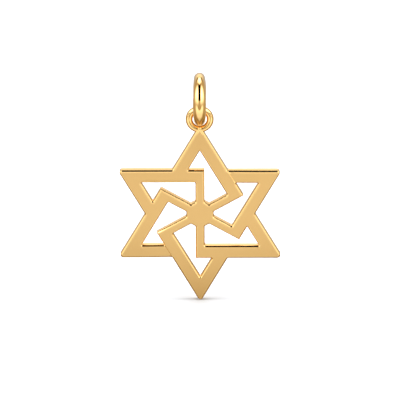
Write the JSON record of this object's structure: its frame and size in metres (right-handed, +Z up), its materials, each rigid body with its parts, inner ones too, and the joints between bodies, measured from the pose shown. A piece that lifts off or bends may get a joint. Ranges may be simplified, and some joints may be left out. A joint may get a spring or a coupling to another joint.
{
  "type": "star of david pendant",
  "caption": "Flat hexagram pendant of yellow gold, pierced as a pinwheel, with a soldered wire ring that hangs free from a thick round bail.",
  "frame": {"origin": "the chain's seat: the inside of the bail at its top, in the middle of its wire", "axes": "+Z up as the pendant hangs, the star's face towards -Y, +X to the right of somebody who looks at the face"},
  "size_m": [0.0184, 0.0062, 0.0275],
  "materials": {
    "polished_gold": "mirror-polished yellow gold",
    "satin_gold": "satin yellow gold face with polished edges"
  },
  "bodies": {
    "bail": {"bail": "polished_gold"},
    "star": {"star": "satin_gold"}
  },
  "joints": [
    {"name": "star_sway", "type": "hinge", "parent": "bail", "child": "star", "pos_m": [0, 0, -0.00417], "axis": [0, 1, 0], "range_deg": [-90, 90]}
  ]
}
